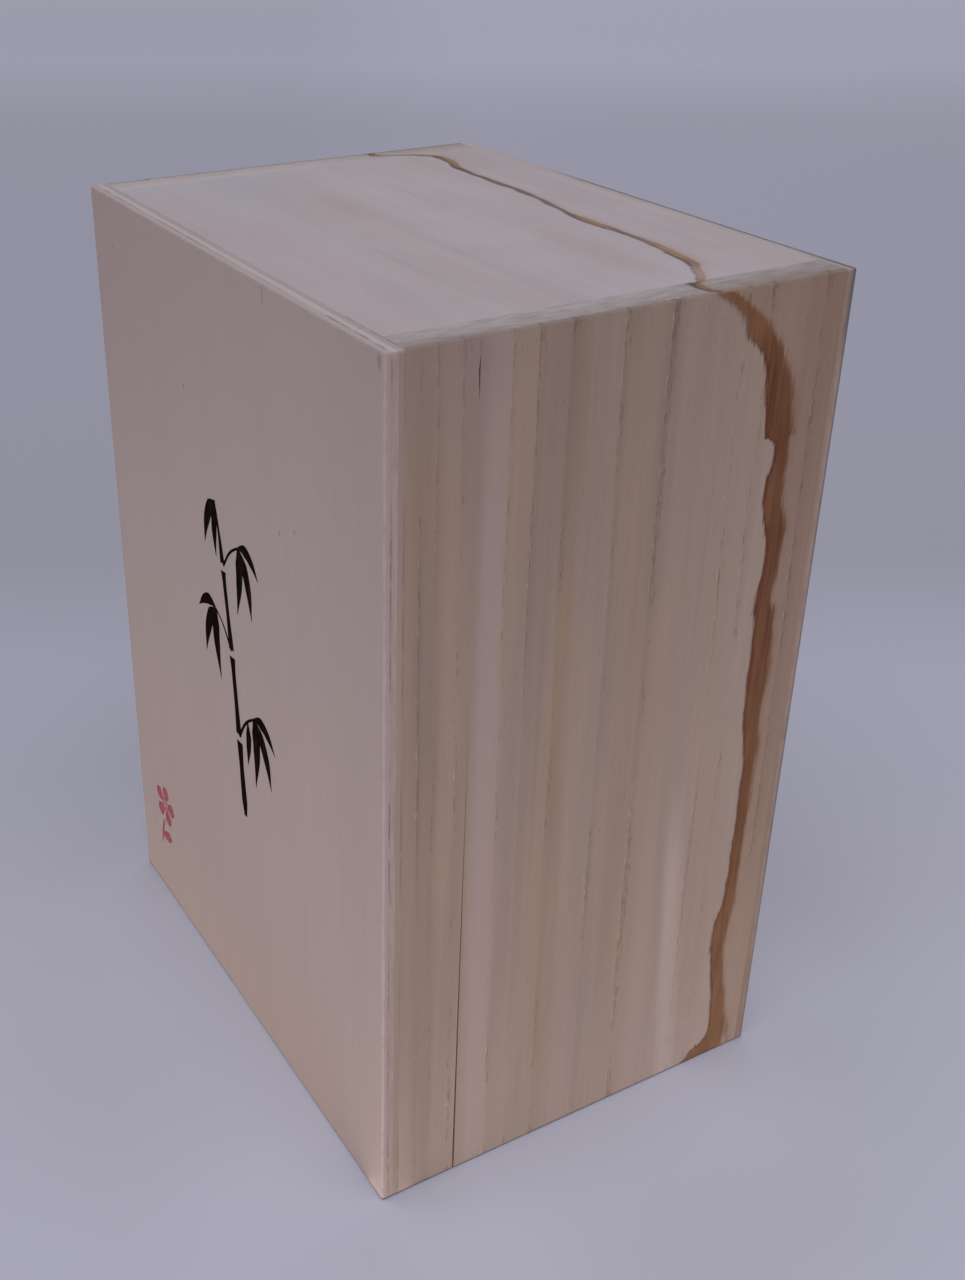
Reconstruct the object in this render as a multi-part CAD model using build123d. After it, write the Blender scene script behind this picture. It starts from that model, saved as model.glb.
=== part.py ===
from build123d import *
import os

# A paulownia presentation box that stands on its end. The lid faces -Y and lifts off that way.
# The carcass is glued up whole, and the lid's skirt is then sawn off it, so both are flush all round.
# Millimetres. The origin is the middle of the end that the box stands on.

# The closed box.
box_width = 142.5
box_height = 200.0
box_depth = 106.0

# Solid boards of the case and of the lid's skirt.
wall_board = 8.0
lid_skirt = 15.0

# Plies of the two glued panels, counted from the lid's face and from the inside of the case.
lid_face_ply = 1.4
lid_core_ply = 1.4
lid_inner_ply = 1.2
back_inner_ply = 0.7
back_core_ply = 1.1
back_outer_ply = 0.7

# Rim strips, glued inside the mouth of the case and standing out of it into the lid.
rim_board = 4.0
rim_seat = 16.0
rim_stand = 10.0
rim_fit = 0.2
rim_lead = 0.8
rim_ease = 0.4

# Outer edges are eased with sandpaper.
edge_round = 0.5

# The side boards have crept since they were sawn, so the seam on both sides of the box stands a little open
# at the foot, and its edge is chipped near the head. Along the top and bottom boards it stays shut.
foot_gap = 0.45
foot_gap_reach = 122.0
chip_width = 0.3
chip_depth = 1.2
chip_length = 9.0
chip_deepest = 3.0
chip_below_head = 3.0

# Planes that the pieces share.
x_outside = box_width / 2
x_inside = x_outside - wall_board
z_floor = wall_board
z_ceiling = box_height - wall_board
y_face = -box_depth / 2
y_back = box_depth / 2
lid_panel = lid_face_ply + lid_core_ply + lid_inner_ply
back_panel = back_inner_ply + back_core_ply + back_outer_ply
y_panel = y_face + lid_panel
y_seam = y_panel + lid_skirt
y_case_end = y_back - back_panel


def block(x, y, z):
    """A board that runs between two values on each axis."""
    middle = [(low + high) / 2 for low, high in (x, y, z)]
    size = [high - low for low, high in (x, y, z)]
    return Pos(*middle) * Box(*size)


def eased_outside():
    """The closed box as one block with its outer edges eased, which trims every outer board."""
    whole = block((-x_outside, x_outside), (y_face, y_back), (0, box_height))
    return fillet(whole.edges(), edge_round)


def crept_seam():
    """The thin wedge of air at the foot of the seam, right through both side boards."""
    foot = Polyline((0, y_seam, 0), (0, y_seam - foot_gap, 0), (0, y_seam, foot_gap_reach), close=True)
    return extrude(make_face(foot), x_outside, dir=(1, 0, 0), both=True)


def seam_chips():
    """The chips out of the outer edges of the seam near the head, one on each side of the box."""
    z_chip = box_height - chip_below_head
    chip = Polyline(
        (0, y_seam, z_chip),
        (0, y_seam - chip_width, z_chip - chip_deepest),
        (0, y_seam, z_chip - chip_length),
        close=True,
    )
    through = extrude(make_face(chip), x_outside, dir=(1, 0, 0), both=True)
    x_sound = x_outside - chip_depth
    return through - block((-x_sound, x_sound), (y_face, y_back), (0, box_height))


def four_boards(y):
    """Two full-height side boards, with the top and bottom boards butted between them."""
    return {
        "left": block((-x_outside, -x_inside), y, (0, box_height)),
        "right": block((x_inside, x_outside), y, (0, box_height)),
        "top": block((-x_inside, x_inside), y, (z_ceiling, box_height)),
        "bottom": block((-x_inside, x_inside), y, (0, z_floor)),
    }


def full_sheet(y):
    """A sheet that covers the whole outline of the box."""
    return block((-x_outside, x_outside), y, (0, box_height))


def stacked_plies(start, plies):
    """The plies of one panel, each glued to the one before it."""
    made = {}
    for name, thickness in plies.items():
        made[name] = full_sheet((start, start + thickness))
        start += thickness
    return made


def rim_strips():
    """The four rim strips: one bevelled ring, cut so that the side strips run the full height."""
    seated = block((-x_inside, x_inside), (y_seam, y_seam + rim_seat), (z_floor, z_ceiling))
    standing = block(
        (rim_fit - x_inside, x_inside - rim_fit),
        (y_seam - rim_stand, y_seam),
        (z_floor + rim_fit, z_ceiling - rim_fit),
    )
    standing = chamfer(standing.faces().sort_by(Axis.Y)[0].edges(), rim_lead)
    x_hollow = x_inside - rim_board
    z_hollow = (z_floor + rim_board, z_ceiling - rim_board)
    y_ring = (y_seam - rim_stand, y_seam + rim_seat)
    ring = seated + standing - block((-x_hollow, x_hollow), y_ring, z_hollow)
    mouth = ring.faces().sort_by(Axis.Y)[0]
    ring = chamfer(mouth.inner_wires()[0].edges(), rim_ease)
    return {
        "rim_left": ring & block((-x_inside, -x_hollow), y_ring, (z_floor, z_ceiling)),
        "rim_right": ring & block((x_hollow, x_inside), y_ring, (z_floor, z_ceiling)),
        "rim_top": ring & block((-x_hollow, x_hollow), y_ring, (z_hollow[1], z_ceiling)),
        "rim_bottom": ring & block((-x_hollow, x_hollow), y_ring, (z_floor, z_hollow[0])),
    }


def case_pieces(outside):
    """The case: four boards, the rim inside their mouth and the plies of the back panel."""
    made = {}
    for side, board in four_boards((y_seam, y_case_end)).items():
        made[f"case_{side}_board"] = board & outside
    plies = {
        "back_inner_ply": back_inner_ply,
        "back_core_ply": back_core_ply,
        "back_outer_ply": back_outer_ply,
    }
    for name, sheet in stacked_plies(y_case_end, plies).items():
        made[name] = sheet & outside
    return made | rim_strips()


def lid_pieces(outside):
    """The lid: the plies of its panel and the four boards of its skirt."""
    made = {}
    plies = {
        "lid_face_ply": lid_face_ply,
        "lid_core_ply": lid_core_ply,
        "lid_inner_ply": lid_inner_ply,
    }
    for name, sheet in stacked_plies(y_face, plies).items():
        made[name] = sheet & outside
    for side, board in four_boards((y_panel, y_seam)).items():
        made[f"lid_{side}_board"] = board & outside
    for side in ("left", "right"):
        made[f"lid_{side}_board"] -= crept_seam() + seam_chips()
    return made


outside = eased_outside()
os.makedirs("parts", exist_ok=True)
for node, shape in (case_pieces(outside) | lid_pieces(outside)).items():
    export_step(shape, f"parts/{node}.step")
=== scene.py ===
import math
import bpy
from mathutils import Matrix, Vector


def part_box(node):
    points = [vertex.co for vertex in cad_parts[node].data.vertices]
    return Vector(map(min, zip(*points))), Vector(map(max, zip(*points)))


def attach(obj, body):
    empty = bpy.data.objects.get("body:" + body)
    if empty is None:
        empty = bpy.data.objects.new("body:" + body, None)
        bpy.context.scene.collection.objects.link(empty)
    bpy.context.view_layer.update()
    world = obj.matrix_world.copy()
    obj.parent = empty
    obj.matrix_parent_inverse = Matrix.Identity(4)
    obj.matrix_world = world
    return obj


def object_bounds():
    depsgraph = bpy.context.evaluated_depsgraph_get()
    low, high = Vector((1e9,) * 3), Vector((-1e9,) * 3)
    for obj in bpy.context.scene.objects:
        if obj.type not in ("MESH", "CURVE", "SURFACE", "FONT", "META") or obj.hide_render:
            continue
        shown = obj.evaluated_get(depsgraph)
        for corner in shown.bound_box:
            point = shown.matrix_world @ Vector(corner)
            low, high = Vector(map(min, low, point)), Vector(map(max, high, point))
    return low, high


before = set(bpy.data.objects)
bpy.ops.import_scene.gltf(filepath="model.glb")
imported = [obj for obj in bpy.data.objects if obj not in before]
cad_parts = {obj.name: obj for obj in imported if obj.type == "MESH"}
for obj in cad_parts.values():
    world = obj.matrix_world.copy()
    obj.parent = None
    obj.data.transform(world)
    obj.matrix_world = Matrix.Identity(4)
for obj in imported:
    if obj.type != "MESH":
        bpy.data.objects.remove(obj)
cad_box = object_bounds()


# The paper sweep
# The box stands on a sheet of pale lilac-grey paper, and the same paper hangs as a sweep behind it.
# Both are matt. Painted light makes the sheet lightest close to the box's sides, where it weakens the
# box's contact shadow, and painted shade makes it a little greyer on the left. It is one flat square
# here, and bands of painted light and shade stand for the sweep's rise, darkest where it starts to rise.

def shown(red, green, blue):
    """A colour as it is seen on a screen, from 0 to 255, as the shader's own values."""
    linear = [((c / 255 + 0.055) / 1.055) ** 2.4 for c in (red, green, blue)]
    return (*linear, 1.0)


def feed(tree, socket, value):
    """Links a socket to another one, or sets its value; None leaves it."""
    if isinstance(value, bpy.types.NodeSocket):
        tree.links.new(value, socket)
    elif value is not None:
        socket.default_value = value


def put(tree, kind, *inputs, out=0, **settings):
    """Adds a shader node, feeds its inputs in order, and returns one of its outputs."""
    node = tree.nodes.new("ShaderNode" + kind)
    for name, value in settings.items():
        setattr(node, name, value)
    for socket, value in zip(node.inputs, inputs):
        feed(tree, socket, value)
    return node.outputs[out]


def ramp(tree, value, stops):
    """Colours that change with value, through (position, colour) stops from 0 to 1."""
    node = tree.nodes.new("ShaderNodeValToRGB")
    feed(tree, node.inputs[0], value)
    elements = node.color_ramp.elements
    elements[0].color = stops[0][1]
    elements[-1].color = stops[-1][1]
    for position, colour in stops[1:-1]:
        elements.new(position).color = colour
    return node.outputs[0]


def blank_finish(name, gloss):
    """A new material: the material, its node tree and the shader to feed."""
    finish = bpy.data.materials.new(name)
    finish.use_nodes = True
    shader = finish.node_tree.nodes["Principled BSDF"]
    shader.inputs["Specular IOR Level"].default_value = gloss
    return finish, finish.node_tree, shader


paper_reach = 6.0
paper_mesh = bpy.data.meshes.new("paper_sweep")
paper_mesh.from_pydata(
    [(x, y, 0.0) for x in (-paper_reach, paper_reach) for y in (-paper_reach, paper_reach)],
    [],
    [(0, 2, 3, 1)],
)
paper = bpy.data.objects.new("paper_sweep", paper_mesh)
bpy.context.scene.collection.objects.link(paper)
paper_finish, tree, shader = blank_finish("sweep_paper", 0.1)
shader.inputs["Roughness"].default_value = 0.9
towards_sweep = (-0.876, 0.483, 0.0)
across_sweep = (0.483, 0.876, 0.0)
grey_from, grey_to, left_grey = 0.10, -0.10, 0.93
light_reach = 0.058
light_past_corner, light_inside_corner = 0.014, -0.026
light_in_middle, light_on_right, right_side = 0.12, 0.24, 0.10
paper_near, paper_far = -0.25, 2.25
# Painted light and shade: the sheet's tone in bands, by how far a point lies towards the sweep.
paper_tones = [
    (-0.25, shown(190, 188, 205)),
    (-0.10, shown(188, 187, 203)),
    (-0.02, shown(188, 187, 203)),
    (0.03, shown(183, 181, 197)),
    (0.08, shown(177, 176, 192)),
    (0.15, shown(175, 174, 191)),
    (0.24, shown(163, 161, 176)),
    (0.60, shown(170, 169, 187)),
    (1.20, shown(184, 183, 201)),
    (1.60, shown(203, 203, 222)),
    (2.25, shown(208, 209, 227)),
]
spot = put(tree, "TexCoord", out=3)
ahead = put(tree, "VectorMath", spot, towards_sweep, operation="DOT_PRODUCT", out=1)
share = put(tree, "MapRange", ahead, paper_near, paper_far, 0.0, 1.0)
stops = [((place - paper_near) / (paper_far - paper_near), colour) for place, colour in paper_tones]
sheet = ramp(tree, share, stops)
# Painted shade: the sheet is a little greyer to the left.
sideways = put(tree, "VectorMath", spot, across_sweep, operation="DOT_PRODUCT", out=1)
left_share = put(tree, "MapRange", sideways, grey_from, grey_to, 0.0, 1.0)
greyer = put(tree, "VectorMath", sheet, (left_grey, left_grey, left_grey), operation="MULTIPLY")
sheet = put(tree, "MixRGB", left_share, sheet, greyer)
# Painted light: the sheet is lighter close to the box's sides, most on the right and less past the corners.
foot_half = (cad_box[1][0], cad_box[1][1], 1.0)
from_middle = put(tree, "VectorMath", spot, operation="ABSOLUTE")
from_side = put(tree, "VectorMath", from_middle, foot_half, operation="SUBTRACT")
beyond = put(tree, "VectorMath", from_side, (0.0, 0.0, 0.0), operation="MAXIMUM")
away = put(tree, "VectorMath", beyond, operation="LENGTH", out=1)
close = put(tree, "MapRange", away, light_reach, 0.0, 0.0, 1.0, interpolation_type="SMOOTHSTEP")
past_x = put(tree, "SeparateXYZ", from_side)
past_y = put(tree, "SeparateXYZ", from_side, out=1)
past_corner = put(tree, "Math", past_x, past_y, operation="MINIMUM")
along_side = put(
    tree, "MapRange", past_corner, light_past_corner, light_inside_corner, 0.0, 1.0,
    interpolation_type="SMOOTHSTEP",
)
close = put(tree, "Math", close, along_side, operation="MULTIPLY")
to_right = put(tree, "SeparateXYZ", spot)
strength = put(tree, "MapRange", to_right, 0.0, right_side, light_in_middle, light_on_right)
lighter = put(tree, "Math", close, strength, 1.0, operation="MULTIPLY_ADD")
sheet = put(tree, "VectorMath", sheet, None, None, lighter, operation="SCALE")
feed(tree, shader.inputs["Base Color"], sheet)
paper.data.materials.append(paper_finish)


# The camera
# It looks down on the near upright edge from above the right side of the lid, as the photograph does.
# Its place and turn come from the seven corners of the box that the photograph shows.

camera_data = bpy.data.cameras.new("camera")
camera_data.lens = 42.3
camera_data.shift_x = 0.0891
camera_data.shift_y = -0.0342
camera = bpy.data.objects.new("camera", camera_data)
camera.location = (0.2783, -0.1703, 0.2800)
camera.rotation_euler = [math.radians(turn) for turn in (62.257, 0.129, 61.059)]
bpy.context.scene.collection.objects.link(camera)
bpy.context.scene.camera = camera
bpy.context.scene.view_settings.view_transform = "Standard"


# The light
# A wide soft box hangs over the front of the box. Two lamps flat on the sheet face up, and throw light on
# the lid and the right side, most of it low down. Two more fill the sides that the photograph doesn't show.

def soft_box(name, place, aim, width, height, power, colour):
    """One rectangular studio lamp that faces the point aim."""
    data = bpy.data.lights.new(name, "AREA")
    data.shape = "RECTANGLE"
    data.size = width
    data.size_y = height
    data.energy = power
    data.color = colour
    lamp = bpy.data.objects.new(name, data)
    lamp.location = place
    lamp.rotation_euler = (Vector(aim) - Vector(place)).to_track_quat("-Z", "Y").to_euler()
    lamp.visible_camera = False
    bpy.context.scene.collection.objects.link(lamp)


box_foot = (0.0, 0.0, 0.01)
soft_box("top_box", (0.10, -0.20, 1.10), (0.0, 0.0, 0.10), 1.0, 1.0, 4.9, (0.94, 0.96, 1.0))
soft_box("front_bounce", (0.0, -0.2745, 0.0005), (0.0, -0.2745, 1.0), 0.80, 0.459, 0.90, (1.0, 0.92, 0.82))
soft_box("side_bounce", (0.2437, 0.0, 0.0005), (0.2437, 0.0, 1.0), 0.3575, 0.80, 1.05, (1.0, 0.955, 0.91))
soft_box("left_card", (-1.20, -1.20, 0.60), box_foot, 0.80, 0.60, 2.0, (1.0, 0.97, 0.95))
soft_box("back_card", (1.20, 1.20, 0.60), box_foot, 0.80, 0.60, 2.0, (1.0, 0.97, 0.95))

room = bpy.data.worlds.new("room")
room.use_nodes = True
bpy.context.scene.world = room
room.node_tree.nodes["Background"].inputs["Color"].default_value = (0.975, 0.98, 1.0, 1.0)
room.node_tree.nodes["Background"].inputs["Strength"].default_value = 0.55


# The side boards
# Two full-height paulownia boards, planed and left bare, glued over the ends of the top and bottom boards.
# Each was sawn in two after glue-up, so its grain runs straight on from the case into the lid's skirt.
# An old water mark runs down them, close to the back.

mm_per_metre = 1000.0
wood_gloss = 0.25
edge_reach = 0.8
board_relief = 0.00005
stain_dullness = 0.40


def calc(tree, operation, *inputs):
    """One sum on numbers."""
    return put(tree, "Math", *inputs, operation=operation)


def product(tree, first, *others):
    """Numbers multiplied together."""
    for other in others:
        first = calc(tree, "MULTIPLY", first, other)
    return first


def total(tree, first, *others):
    """Numbers added together."""
    for other in others:
        first = calc(tree, "ADD", first, other)
    return first


def scaled(tree, value, factor, added):
    """A number times a factor, plus another number."""
    return calc(tree, "MULTIPLY_ADD", value, factor, added)


def less(tree, first, second):
    """The first number less the second."""
    return calc(tree, "SUBTRACT", first, second)


def rise(tree, value, low, high):
    """Goes smoothly from 0 to 1 as value goes from low to high, which may be the smaller."""
    return put(tree, "MapRange", value, low, high, 0.0, 1.0, interpolation_type="SMOOTHSTEP")


def layer(tree, share, under, over, how="MIX"):
    """One colour laid over another by a share."""
    node = tree.nodes.new("ShaderNodeMix")
    node.data_type = "RGBA"
    node.blend_type = how
    for index, value in ((0, share), (6, under), (7, over)):
        feed(tree, node.inputs[index], value)
    return node.outputs[2]


def noise(tree, place, stretch, detail=2.0, roughness=0.5):
    """Noise from 0 to 1, with stretch changes in a millimetre along each axis."""
    stretched = put(tree, "VectorMath", place, stretch, operation="MULTIPLY")
    return put(tree, "TexNoise", stretched, None, 1.0, detail, roughness)


def swing(tree, value, size):
    """Noise turned into a swing of this size about zero."""
    return product(tree, less(tree, value, 0.5), size)


def drawn(tree, value, points, straight=False):
    """The height at value of a line drawn through (position, height) points."""
    left, right = points[0][0], points[-1][0]
    bottom = min(height for _, height in points)
    top = max(height for _, height in points)
    node = tree.nodes.new("ShaderNodeFloatCurve")
    line = node.mapping.curves[0].points
    for index, (position, height) in enumerate(points):
        spot = ((position - left) / (right - left), (height - bottom) / (top - bottom))
        if index < 2:
            line[index].location = spot
        else:
            line.new(*spot)
    for point in line:
        point.handle_type = "VECTOR" if straight else "AUTO_CLAMPED"
    node.mapping.update()
    feed(tree, node.inputs["Value"], put(tree, "MapRange", value, left, right, 0.0, 1.0))
    return put(tree, "MapRange", node.outputs[0], 0.0, 1.0, bottom, top)


def split(tree, vector):
    """The X, Y and Z of a vector."""
    node = tree.nodes.new("ShaderNodeSeparateXYZ")
    feed(tree, node.inputs[0], vector)
    return dict(zip("XYZ", node.outputs))


def facing(tree):
    """Which way a surface faces, as X, Y and Z."""
    return split(tree, put(tree, "NewGeometry", out=1))


def in_millimetres(tree):
    """Where a point is in the box, in millimetres."""
    spot = put(tree, "TexCoord", out=3)
    return put(tree, "VectorMath", spot, (mm_per_metre, mm_per_metre, mm_per_metre), operation="MULTIPLY")


def from_spot(tree, offset, reach):
    """How far an offset goes from the middle of a spot: 1 is as far as the spot reaches."""
    share = put(tree, "VectorMath", offset, reach, operation="DIVIDE")
    return put(tree, "VectorMath", share, operation="LENGTH", out=1)


def effect(name, takes, gives):
    """An empty node group: its tree, what comes in and what goes out, by the names of its sockets."""
    tree = bpy.data.node_groups.new(name, "ShaderNodeTree")
    for label, kind in takes.items():
        tree.interface.new_socket(name=label, in_out="INPUT", socket_type="NodeSocket" + kind)
    for label, kind in gives.items():
        tree.interface.new_socket(name=label, in_out="OUTPUT", socket_type="NodeSocket" + kind)
    return tree, tree.nodes.new("NodeGroupInput").outputs, tree.nodes.new("NodeGroupOutput").inputs


def place_effect(tree, group, feeds):
    """Puts a node group into a material, feeds its named inputs and returns its outputs."""
    node = tree.nodes.new("ShaderNodeGroup")
    node.node_tree = group
    for label, value in feeds.items():
        feed(tree, node.inputs[label], value)
    return node.outputs


def make_bare_wood():
    """Unfinished wood, whose vessels crowd in a soft band after each growth line, as short dark dashes.
    Place is in millimetres along, across and through the board. Rings counts growth lines across it, and
    Ring Width is the millimetres between two. Tone is how deep the colour is, Figure how clearly the lines
    show, and Soak how dirty the wood is near its ends."""
    takes = {
        "Place": "Vector",
        "Rings": "Float",
        "Ring Width": "Float",
        "Tone": "Float",
        "Figure": "Float",
        "Soak": "Float",
        "End Grain": "Float",
        "Pale": "Color",
        "Deep": "Color",
        "Tan": "Color",
        "Line": "Color",
        "End": "Color",
        "End Line": "Color",
    }
    gives = {"Color": "Color", "Roughness": "Float", "Height": "Float"}
    tree, given, result = effect("bare_wood", takes, gives)
    place = given["Place"]
    along = split(tree, place)["X"]
    fibre = noise(tree, place, (0.020, 0.9, 0.9), 3.0, 0.5)
    streak = noise(tree, place, (0.006, 0.22, 0.22), 2.0)
    patch = noise(tree, place, (0.010, 0.11, 0.11), 2.0)
    vessel = noise(tree, place, (0.45, 3.6, 3.6), 1.0)
    end_streak = noise(tree, place, (0.3, 0.16, 0.7), 4.0, 0.65)
    figure = product(tree, given["Figure"], less(tree, 1.0, given["End Grain"]))

    # Each growth line swells and fades along the board, on a row of the noise of its own, and is broken up.
    number = calc(tree, "ROUND", given["Rings"])
    offset = product(tree, less(tree, given["Rings"], number), given["Ring Width"])
    near = calc(tree, "ABSOLUTE", offset)
    row = product(tree, number, 7.31)
    slow_spot = put(tree, "CombineXYZ", product(tree, along, 0.025), row)
    quick_spot = put(tree, "CombineXYZ", product(tree, along, 0.30), row)
    force = product(tree, rise(tree, put(tree, "TexNoise", slow_spot, None, 1.0), 0.30, 0.70), 1.25)
    broken = rise(tree, put(tree, "TexNoise", quick_spot, None, 1.0), 0.46, 0.64)
    after = product(tree, rise(tree, offset, 2.4, 0.0), rise(tree, offset, -0.3, 0.1))
    beside_line = rise(tree, calc(tree, "ABSOLUTE", less(tree, offset, 0.30)), 0.7, 0.1)
    before = product(tree, rise(tree, offset, -0.9, -0.1), rise(tree, offset, 0.15, -0.1))
    crowd = product(tree, after, force)
    line = product(tree, rise(tree, near, 0.17, 0.03), force, broken)

    # The vessels are dark dashes that crowd beside a line, and a few pale ones stand before it.
    dark = scaled(tree, product(tree, beside_line, force), 0.19, vessel)
    dark = scaled(tree, given["Soak"], scaled(tree, after, 0.16, 0.03), dark)
    dark = rise(tree, dark, 0.68, 0.82)
    pale = product(tree, before, force, -0.18)
    pale = rise(tree, total(tree, vessel, pale), 0.24, 0.14)

    # The colour goes from pale to deep with the tone, the fibres and the streaks, and is tan in patches.
    depth = total(tree, given["Tone"], swing(tree, fibre, 0.28), swing(tree, streak, 0.50))
    depth = scaled(tree, crowd, 0.16, depth)
    mauve = layer(tree, depth, given["Pale"], given["Deep"])
    tanned = layer(tree, depth, given["Pale"], given["Tan"])
    colour = layer(tree, rise(tree, patch, 0.38, 0.64), mauve, tanned)
    ended = layer(tree, rise(tree, end_streak, 0.36, 0.68), given["End"], given["End Line"])
    colour = layer(tree, given["End Grain"], colour, ended)
    colour = layer(tree, product(tree, line, figure, 0.32), colour, given["Line"])
    colour = layer(tree, product(tree, dark, figure, 0.52), colour, given["Line"])
    colour = layer(tree, product(tree, pale, figure, 0.08), colour, shown(255, 245, 235))
    feed(tree, result["Color"], colour)
    rough = scaled(tree, fibre, 0.16, 0.52)
    feed(tree, result["Roughness"], scaled(tree, given["End Grain"], 0.15, rough))
    height = scaled(tree, product(tree, line, figure), -0.2, fibre)
    height = scaled(tree, product(tree, dark, figure), -0.4, height)
    feed(tree, result["Height"], height)
    return tree


def make_tide_mark():
    """A dried water mark, sharp and ragged on one side and softer on the other, over wood that it yellowed.
    Offset is in millimetres from the mark's middle, below 0 towards the sharp side. Core is how dark it is
    inside its sharp rim, Blur how many millimetres softer its edges are, Fringe how many half widths its
    soft side reaches, and Warmth how much of the tint Warm the wood past it takes."""
    takes = {
        "Place": "Vector",
        "Offset": "Float",
        "Half Width": "Float",
        "Strength": "Float",
        "Core": "Float",
        "Blur": "Float",
        "Fringe": "Float",
        "Warmth": "Float",
        "Warm": "Color",
        "Wood": "Color",
        "Dark": "Color",
        "Light": "Color",
    }
    tree, given, result = effect("tide_mark", takes, {"Color": "Color", "Stain": "Float"})
    place, half = given["Place"], given["Half Width"]
    ragged = swing(tree, noise(tree, place, (0.20, 2.0, 2.0), 3.0, 0.6), 1.4)
    wavy = swing(tree, noise(tree, place, (0.14, 0.4, 0.4), 3.0), 1.4)
    stripe = noise(tree, place, (0.07, 1.3, 1.3), 3.0, 0.6)
    pool = noise(tree, place, (0.05, 0.25, 0.25), 2.0)
    across = total(tree, given["Offset"], ragged, wavy)
    from_rim = total(tree, across, half)
    across = calc(tree, "DIVIDE", across, half)

    # The wood past the mark is warmer, and light brown runs out of its soft side.
    back = rise(tree, from_rim, 0.5, 3.0)
    warm = layer(tree, 1.0, given["Wood"], given["Warm"], "MULTIPLY")
    colour = layer(tree, product(tree, back, given["Warmth"]), given["Wood"], warm)
    reach = put(tree, "MapRange", across, given["Fringe"], 0.8, 0.0, 1.0, interpolation_type="SMOOTHSTEP")
    halo = product(tree, rise(tree, from_rim, -0.2, 0.6), reach, given["Strength"], 0.40)
    colour = layer(tree, halo, colour, given["Light"])

    # The mark itself is darkest along its sharp rim, and streaked with the grain.
    soft_side = total(tree, across, swing(tree, stripe, 0.9))
    outer = less(tree, -0.25, given["Blur"])
    inner = total(tree, 0.45, given["Blur"])
    core = product(tree, rise(tree, from_rim, outer, inner), rise(tree, soft_side, 1.35, 0.70))
    deep = scaled(tree, rise(tree, from_rim, 1.1, 0.5), 0.60, given["Core"])
    deep = total(tree, deep, swing(tree, stripe, 1.3), swing(tree, pool, 1.6))
    share = product(tree, core, given["Strength"])
    stain = layer(tree, deep, given["Light"], given["Dark"])
    feed(tree, result["Color"], layer(tree, share, colour, stain))
    feed(tree, result["Stain"], share)
    return tree


def make_edge_wear_and_shade():
    """The outer edges of the closed box, worn on most pieces and darkened with painted shade on the back
    panel's
    outer ply: 1 on the edge, 0 past Reach millimetres in.
    """
    takes = {"Place": "Vector", "Middle": "Vector", "Half Size": "Vector", "Reach": "Float"}
    tree, given, result = effect("edge_wear_and_shade", takes, {"Edge": "Float"})
    from_middle = put(tree, "VectorMath", given["Place"], given["Middle"], operation="SUBTRACT")
    from_middle = put(tree, "VectorMath", from_middle, operation="ABSOLUTE")
    inset = split(tree, put(tree, "VectorMath", given["Half Size"], from_middle, operation="SUBTRACT"))
    close = {}
    for name, socket in inset.items():
        close[name] = less(tree, 1.0, calc(tree, "DIVIDE", socket, given["Reach"]))
    low = calc(tree, "MINIMUM", close["X"], close["Y"])
    high = calc(tree, "MAXIMUM", close["X"], close["Y"])
    second = calc(tree, "MAXIMUM", low, calc(tree, "MINIMUM", high, close["Z"]))
    rub = noise(tree, given["Place"], (0.35, 0.35, 0.35), 4.0, 0.65)
    worn = rise(tree, total(tree, swing(tree, rub, 2.2), second), 0.10, 0.90)
    feed(tree, result["Edge"], product(tree, worn, rise(tree, second, 0.0, 0.5)))
    return tree


def make_joint_line():
    """A joint seen edge on: a worn hairline where From Face is at Joint, both in millimetres. It marks glue
    lines, and painted shade in the seam between lid and case.
    """
    takes = {"Place": "Vector", "From Face": "Float", "Joint": "Float"}
    tree, given, result = effect("joint_line", takes, {"Line": "Float"})
    away = calc(tree, "ABSOLUTE", less(tree, given["From Face"], given["Joint"]))
    offset = put(tree, "CombineXYZ", given["Joint"], given["Joint"], given["Joint"])
    shifted = put(tree, "VectorMath", given["Place"], offset, operation="ADD")
    patchy = rise(tree, noise(tree, shifted, (0.03, 0.03, 0.03), 2.0), 0.35, 0.62)
    dashed = rise(tree, noise(tree, shifted, (0.25, 0.25, 0.25), 3.0, 0.6), 0.30, 0.55)
    line = product(tree, rise(tree, away, 0.28, 0.05), product(tree, patchy, dashed))
    feed(tree, result["Line"], line)
    return tree


bare_wood = make_bare_wood()
tide_mark = make_tide_mark()
edge_wear_and_shade = make_edge_wear_and_shade()
joint_line = make_joint_line()
box_low, box_high = cad_box
box_middle = [mm_per_metre / 2 * (low + high) for low, high in zip(box_low, box_high)]
box_half = [mm_per_metre / 2 * (high - low) for low, high in zip(box_low, box_high)]
box_height = 2 * box_half[2]


def behind_face(y):
    """How many millimetres a place on the Y axis lies behind the lid's face."""
    return mm_per_metre * (y - box_low[1])


face_joint = behind_face(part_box("lid_inner_ply")[1][1])
back_joint = behind_face(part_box("back_inner_ply")[0][1])
seam = behind_face(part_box("lid_right_board")[1][1])

# Where the mark crosses the top of the box: millimetres from the left side, and in from the back.
top_mark = [
    (0, 29.0), (2.8, 30.4), (5.7, 25.6), (9.5, 19.5), (15.2, 16.8), (28.5, 19.8), (58.9, 20.5),
    (88.3, 23.7), (98.8, 23.3), (121.6, 25.4), (128.0, 28.2), (135.0, 33.0), (138.0, 35.6), (142.5, 33.4),
]
top_mark_width = [
    (0, 0.8), (6, 1.2), (15, 1.2), (35, 0.9), (75, 0.8), (88, 1.3), (99, 0.95), (108, 1.15), (124, 1.35),
    (135, 1.2), (142.5, 1.1),
]
top_mark_strength = [
    (0, 0.85), (10, 1.0), (25, 0.9), (45, 0.75), (75, 0.75), (86, 0.85), (100, 0.75), (122, 0.85),
    (131, 0.55), (137, 0.9), (142.5, 0.9),
]

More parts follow.
